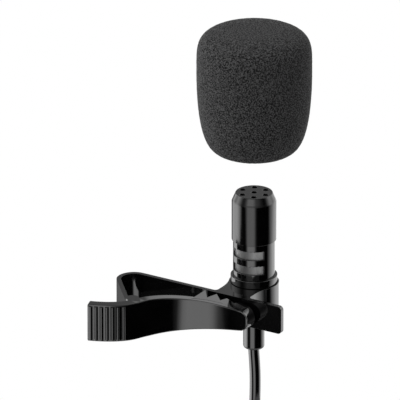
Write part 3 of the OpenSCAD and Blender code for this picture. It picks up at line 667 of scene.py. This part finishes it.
def wireTube(name, line, setup):
    sides = setup["sides"]
    mesh = bpy.data.meshes.new(name)
    points = []
    across = None
    for i, place in enumerate(line):
        way = (line[min(i + 1, len(line) - 1)] - line[max(i - 1, 0)]).normalized()
        if across is None:
            across = way.orthogonal().normalized()
        across = (across - across.dot(way) * way).normalized()
        beside = way.cross(across)
        atEnd = i in (0, len(line) - 1)
        reach = setup["wireRadius"] * (setup["tip"] if atEnd else 1)
        for k in range(sides):
            turn = 2 * math.pi * k / sides
            points.append((place + reach * (math.cos(turn) * across + math.sin(turn) * beside)) * mm)
    faces = [tuple(range(sides))[::-1]]
    for i in range(len(line) - 1):
        for k in range(sides):
            j = (k + 1) % sides
            faces.append((i * sides + k, i * sides + j, (i + 1) * sides + j, (i + 1) * sides + k))
    faces.append(tuple((len(line) - 1) * sides + k for k in range(sides)))
    mesh.from_pydata(points, [], faces)
    mesh.shade_smooth()
    return placed(name, mesh)


spring = wireTube("springWire", springLine(springSetup), springSetup)
spring.data.materials.append(made["springSteel"])
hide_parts("torsion_spring")
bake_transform(spring)
print("spring wound")

# flat strap closed round the coil, its end lapped over its start
strapSetup = {
    "coilCentre": cableSetup["coilCentre"],
    "front": 8.55,  # mm, nearest side of the bundle
    "angle": 140,  # where it crosses the coil
    "reach": (10.215, 23.925),  # from the coil's centre
    "depth": 12.1,
    "width": 8,
    "columns": 5,
    "thickness": 0.6,
    "cornerRadius": 1.3,
    "cornerSteps": 6,
    "closing": 1,  # mm short of the start, where the first round ends
    "ramp": 1.4,  # mm along, over which it climbs onto its own start
    "overlap": 8,
    "lapSteps": 8,
    "lapLift": 1.05,  # times its thickness
    "tipWidths": (0.93, 0.8, 0.55),
    "edge": 0.12,
    "edgeSegments": 2,
}


def strapStations(setup):
    # once round a rounded rectangle from the front's middle, then on over its own start
    low, high = setup["reach"]
    r, deep = setup["cornerRadius"], setup["depth"]
    middle = (low + high) / 2
    corners = ((high - r, r, -90), (high - r, deep - r, 0), (low + r, deep - r, 90), (low + r, r, 180))
    path = [(middle, 0, 0, -1)]
    for x, y, first in corners:
        for k in range(setup["cornerSteps"] + 1):
            turn = math.radians(first + 90 / setup["cornerSteps"] * k)
            path.append((x + r * math.cos(turn), y + r * math.sin(turn), math.cos(turn), math.sin(turn)))
    closing = middle - setup["closing"]
    path.append((closing, 0, 0, -1))
    stations = [(*place, 0, 1) for place in path]
    steps, ramp = setup["lapSteps"], setup["ramp"]
    widths = [1] * (steps + 1 - len(setup["tipWidths"])) + [*setup["tipWidths"]]
    for k, width in enumerate(widths):
        along = closing + ramp + (setup["overlap"] - ramp) * (k / steps)
        stations.append((along, 0, 0, -1, setup["thickness"] * setup["lapLift"], width))
    return stations


def makeStrap(setup):
    angle = math.radians(setup["angle"])
    outward = Vector((math.cos(angle), 0, math.sin(angle)))
    across = Vector((-math.sin(angle), 0, math.cos(angle)))
    centre = Vector((setup["coilCentre"][0], setup["front"], setup["coilCentre"][1]))
    mesh = bpy.data.meshes.new("coilStrap")
    points, faces = [], []
    columns = setup["columns"]
    stations = strapStations(setup)
    for u, v, nu, nv, lift, narrow in stations:
        for outer in (0, 1):
            for c in range(columns):
                side = (c / (columns - 1) - 0.5) * setup["width"] * narrow
                away = lift + outer * setup["thickness"]
                inPlane = outward * (u + nu * away) + Vector((0, v + nv * away, 0))
                points.append((centre + inPlane + across * side) * mm)
    ring = 2 * columns
    order = list(range(columns)) + list(range(ring - 1, columns - 1, -1))
    for s in range(len(stations) - 1):
        for a, b in zip(order, order[1:] + order[:1]):
            faces.append((s * ring + a, s * ring + b, (s + 1) * ring + b, (s + 1) * ring + a))
    faces.append(tuple(order)[::-1])
    faces.append(tuple((len(stations) - 1) * ring + k for k in order))
    mesh.from_pydata(points, [], faces)
    strap = placed("coilStrap", mesh)
    roundedEdge(strap, "wovenEdge", setup["edge"], setup["edgeSegments"])
    mesh.shade_smooth()
    return strap


strap = makeStrap(strapSetup)
strap.data.materials.append(made["strapFabric"])
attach(strap, "microphone")
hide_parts("cable_tie")
print("strap closed")

# the plug's grooved grip and ribbed bend relief
plugSetup = {
    "axis": tailPlace(cableSetup),  # mm, x and y
    "sides": 72,
    "gripBottom": -102.8,
    "gripTop": -87.8,
    "gripRadius": 3.8,
    "edge": 0.6,
    "edgeRound": (0.2, 0.15),  # mm in from the side and from the end, on each rim's curve
    "grooves": 7,
    "groovePitch": 1.25,
    "grooveWidth": 0.5,
    "grooveDepth": 0.35,
    "grooveFloor": 0.7,  # times its width
    "grooveLip": (0.12, 0.06),  # mm beside each groove, mm deep
    "bootTop": -79.8,
    "bootRadii": (2.6, 1.7),
    "bootRings": 5,
    "bootSunk": 0.2,  # mm inside the grip
    "bootRim": 0.25,
    "bootRimIn": 0.2,
    "ringShape": ((0, 0), (0.12, 0), (0.5, 0), (0.62, -0.32), (0.88, -0.32)),  # share of one ring, mm
    "mouldEdge": 0.05,
    "mouldSegments": 2,
    "mouldAngle": 30,
}


def gripOutline(setup):
    r, edge = setup["gripRadius"], setup["edge"]
    low, high = setup["gripBottom"], setup["gripTop"]
    side, end = setup["edgeRound"]
    half, deep, floor = setup["grooveWidth"] / 2, setup["grooveDepth"], setup["grooveFloor"]
    beside, dip = setup["grooveLip"]
    line = [(0, low), (r - edge, low), (r - side, low + end), (r, low + edge)]
    first = (low + high) / 2 - (setup["grooves"] - 1) / 2 * setup["groovePitch"]
    for i in range(setup["grooves"]):
        z = first + i * setup["groovePitch"]
        line += [(r, z - half - beside), (r - dip, z - half), (r - deep, z - half * floor)]
        line += [(r - deep, z + half * floor), (r - dip, z + half), (r, z + half + beside)]
    return line + [(r, high - edge), (r - side, high - end), (r - edge, high), (0, high)]


def bootOutline(setup):
    low, high = setup["gripTop"], setup["bootTop"]
    wide, slim = setup["bootRadii"]
    count, rim = setup["bootRings"], setup["bootRim"]
    line = [(0, low - setup["bootSunk"]), (wide, low - setup["bootSunk"])]
    for i in range(count):
        for k, reach in setup["ringShape"]:
            share = (i + k) / count
            line.append((wide + (slim - wide) * share + reach, low + (high - rim - low) * share))
    return line + [(slim, high - rim), (slim - setup["bootRimIn"], high), (0, high)]


for name, outline, node in (("plugHandle", gripOutline(plugSetup), "plug_grip"),
                            ("plugFlexBoot", bootOutline(plugSetup), "plug_boot")):
    piece = turnedPiece(name, outline, plugSetup["sides"], plugSetup["axis"])
    moulding = roundedEdge(piece, "moulding", plugSetup["mouldEdge"], plugSetup["mouldSegments"],
                           plugSetup["mouldAngle"])
    moulding.harden_normals = True
    piece.data.materials.append(made["cableSheath" if node == "plug_boot" else "lacquerBlack"])
    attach(piece, "microphone")
    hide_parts(node)
print("plug dressed")

# a floor, the room that polished surfaces mirror, and three soft lamps
stageSetup = {
    "floorRadius": 200,  # mm
    "floorHeight": -117.5,
    "floorSides": 96,
    "floorTint": 0.85,
    "floorGlow": 0.5,
}
# what polished surfaces mirror: brightness by bearing from the camera, in degrees,
# anticlockwise seen from above
studioSetup = {
    "brightest": 6,
    "levelBand": [(-180, 0.2), (-158, 0.2), (-150, 0.3), (-143, 1.0), (-134, 2.3), (-122, 2.9),
                  (-112, 3.8), (-104, 4.7), (-96, 5.2), (-89, 4.8), (-82, 3.8), (-76, 2.4), (-70, 1.0),
                  (-65, 0.05), (-50, 0.0), (-46, 0.1), (-41, 0.7), (-38, 1.5), (-35, 2.4), (-31, 2.9),
                  (-6, 3.0), (1, 2.5), (6, 1.1), (10, 0.25), (17, 0.0), (77, 0.0), (82, 0.3), (92, 1.4),
                  (104, 2.3), (118, 2.8), (132, 2.3), (146, 1.5)],
    "raisedBand": [(-180, 0.36), (-164, 0.4), (-146, 1.2), (-134, 3.0), (-118, 4.8), (-96, 4.4),
                   (-84, 2.8), (-68, 0.4), (-56, 0.3), (-44, 1.4), (-34, 3.5), (-8, 3.4), (2, 2.2),
                   (10, 1.1), (24, 0.8), (40, 0.3), (56, 0.02), (68, 0.1), (80, 1.6), (92, 3.6),
                   (116, 4.0), (130, 2.6), (146, 1.0), (160, 1.3), (172, 1.6), (175, 1.5), (176.4, 1.15),
                   (178.2, 1.0), (179.4, 0.4)],
    "shelfBand": [(-180, 0.36), (-164, 0.4), (-146, 1.6), (-136, 2.8), (-130, 2.1), (-114, 2.1),
                  (-106, 3.6), (-98, 4.4), (-88, 3.4), (-78, 1.8), (-68, 0.4), (-56, 0.3), (-44, 1.1),
                  (-34, 2.0), (-6, 2.0), (8, 0.9), (32, 0.4), (56, 0.1), (68, 0.3), (80, 1.8), (90, 3.6),
                  (104, 3.3), (114, 2.1), (128, 2.1), (136, 2.2), (146, 1.0), (160, 1.2), (172, 1.6),
                  (175, 1.5), (176.4, 1.15), (178.2, 1.0), (179.4, 0.4)],
    "shelfFrom": (-16, 2),  # degrees above the horizon, where one band turns into the next
    "raisedFrom": (15, 19),
    "overhead": 0.5,
    "overheadFrom": (62, 80),
}
lightSetup = {
    "ambient": 0.27,
    "aimHeight": 15,  # mm
    "lamps": {
        # bearing, height angle, distance, width, height, watts
        "leftPanel": (-100, 10, 1.0, 0.9, 1.2, 4.5),
        "frontPanel": (-35, 20, 1.0, 0.62, 0.5, 2),
        "topPanel": (-60, 65, 1.1, 0.7, 0.7, 4.2),
    },
}


def lightPathMix(tree, rays, a, b):
    # b where any of the named rays looks, otherwise a
    path = tree.nodes.new("ShaderNodeLightPath")
    total = path.outputs[rays[0]]
    for ray in rays[1:]:
        total = joined(tree, "MAXIMUM", total, path.outputs[ray])
    mix = tree.nodes.new("ShaderNodeMixShader")
    tree.links.new(total, mix.inputs["Fac"])
    tree.links.new(a, mix.inputs[1])
    tree.links.new(b, mix.inputs[2])
    return mix.outputs["Shader"]


def bandRamp(tree, share, band, brightest):
    ramp = tree.nodes.new("ShaderNodeValToRGB")
    stops = ramp.color_ramp.elements
    for stop in list(stops)[1:]:
        stops.remove(stop)
    for i, (bearing, level) in enumerate(band):
        place = bearing / 360 + 0.5
        stop = stops[0] if i == 0 else stops.new(place)
        stop.position = place
        grey = level / brightest
        stop.color = (grey, grey, grey, 1)
    tree.links.new(share, ramp.inputs["Fac"])
    return ramp.outputs["Color"]


def blendColours(tree, value, limits, a, b):
    blend = tree.nodes.new("ShaderNodeMix")
    blend.data_type = "RGBA"
    fac = spread(tree, value, 0, 1, *limits)
    fac.node.interpolation_type = "SMOOTHSTEP"
    tree.links.new(fac, blend.inputs["Factor"])
    for socket, colour in zip([s for s in blend.inputs if s.type == "RGBA"], (a, b)):
        feed(tree, colour, socket)
    return next(s for s in blend.outputs if s.type == "RGBA")


def bearingAndHeight(tree):
    # the way a ray looks: its bearing as a share of a full turn, and its height in degrees
    way = tree.nodes.new("ShaderNodeTexCoord").outputs["Generated"]
    back = Vector(cameraSetup["towardsCamera"])
    ahead = Vector((back.x, back.y, 0)).normalized()
    beside = Vector((-ahead.y, ahead.x, 0))
    parts = []
    for line in (beside, ahead, Vector((0, 0, 1))):
        part = tree.nodes.new("ShaderNodeVectorMath")
        part.operation = "DOT_PRODUCT"
        part.inputs[1].default_value = line[:]
        tree.links.new(way, part.inputs[0])
        parts.append(part.outputs["Value"])
    turn = joined(tree, "ARCTAN2", parts[0], parts[1])
    share = joined(tree, "MULTIPLY_ADD", turn, 1 / (2 * math.pi), 0.5)
    return share, joined(tree, "MULTIPLY", joined(tree, "ARCSINE", parts[2]), 180 / math.pi)


def makeWorld(setup, studio):
    world = bpy.data.worlds.new("studio")
    bpy.context.scene.world = world
    world.use_nodes = True
    tree = world.node_tree
    ambient = tree.nodes["Background"]
    ambient.inputs["Color"].default_value = (1, 1, 1, 1)
    ambient.inputs["Strength"].default_value = setup["ambient"]
    white = addNode(tree, "ShaderNodeBackground", Color=(1, 1, 1, 1), Strength=1.0)
    share, height = bearingAndHeight(tree)
    brightest = studio["brightest"]
    level, shelf, raised = (bandRamp(tree, share, studio[band], brightest)
                            for band in ("levelBand", "shelfBand", "raisedBand"))
    over = studio["overhead"] / brightest
    picture = blendColours(tree, height, studio["shelfFrom"], level, shelf)
    picture = blendColours(tree, height, studio["raisedFrom"], picture, raised)
    picture = blendColours(tree, height, studio["overheadFrom"], picture, (over, over, over, 1))
    room = addNode(tree, "ShaderNodeBackground", Strength=brightest)
    tree.links.new(picture, room.inputs["Color"])
    seen = lightPathMix(tree, ["Is Glossy Ray"], ambient.outputs[0], room.outputs[0])
    seen = lightPathMix(tree, ["Is Camera Ray", "Is Transmission Ray"], seen, white.outputs[0])
    tree.links.new(seen, tree.nodes["World Output"].inputs["Surface"])


def makeFloor(setup):
    radius, height, tint = setup["floorRadius"], setup["floorHeight"], setup["floorTint"]
    floor = turnedPiece("floor", [(0, height), (radius, height)], setup["floorSides"], micAxis)
    material = bpy.data.materials.new("floorPaper")
    material.use_nodes = True
    tree = material.node_tree
    tree.nodes.remove(tree.nodes["Principled BSDF"])
    paper = addNode(tree, "ShaderNodeBsdfDiffuse", Color=(tint, tint, tint, 1))
    glow = addNode(tree, "ShaderNodeEmission", Color=(1, 1, 1, 1), Strength=setup["floorGlow"])
    both = tree.nodes.new("ShaderNodeAddShader")
    tree.links.new(paper.outputs[0], both.inputs[0])
    tree.links.new(glow.outputs[0], both.inputs[1])
    rays = ["Is Camera Ray", "Is Glossy Ray", "Is Transmission Ray"]
    seen = lightPathMix(tree, rays, paper.outputs[0], both.outputs[0])
    tree.links.new(seen, tree.nodes["Material Output"].inputs["Surface"])
    floor.data.materials.append(material)


def makeLamps(setup):
    towards = Vector(cameraSetup["towardsCamera"])
    base = math.atan2(towards.y, towards.x)
    target = Vector((0, micAxisY, setup["aimHeight"] * mm))
    for name, (bearing, heightAngle, distance, width, height, watts) in setup["lamps"].items():
        data = bpy.data.lights.new(name, "AREA")
        data.shape = "RECTANGLE"
        data.size = width
        data.size_y = height
        data.energy = watts
        lamp = placed(name, data)
        angle = base + math.radians(bearing)
        lift = math.radians(heightAngle)
        way = Vector((math.cos(angle) * math.cos(lift), math.sin(angle) * math.cos(lift), math.sin(lift)))
        lamp.location = target + way * distance
        lamp.rotation_euler = (-way).to_track_quat("-Z", "Y").to_euler()
        lamp.visible_camera = False
        lamp.visible_glossy = False


makeWorld(lightSetup, studioSetup)
makeFloor(stageSetup)
makeLamps(lightSetup)
bpy.context.scene.view_settings.view_transform = "Standard"
print("stage lit")

# bring every placement up to date; the cord, the strap and the whole plug all hang on the microphone body
bpy.context.view_layer.update()
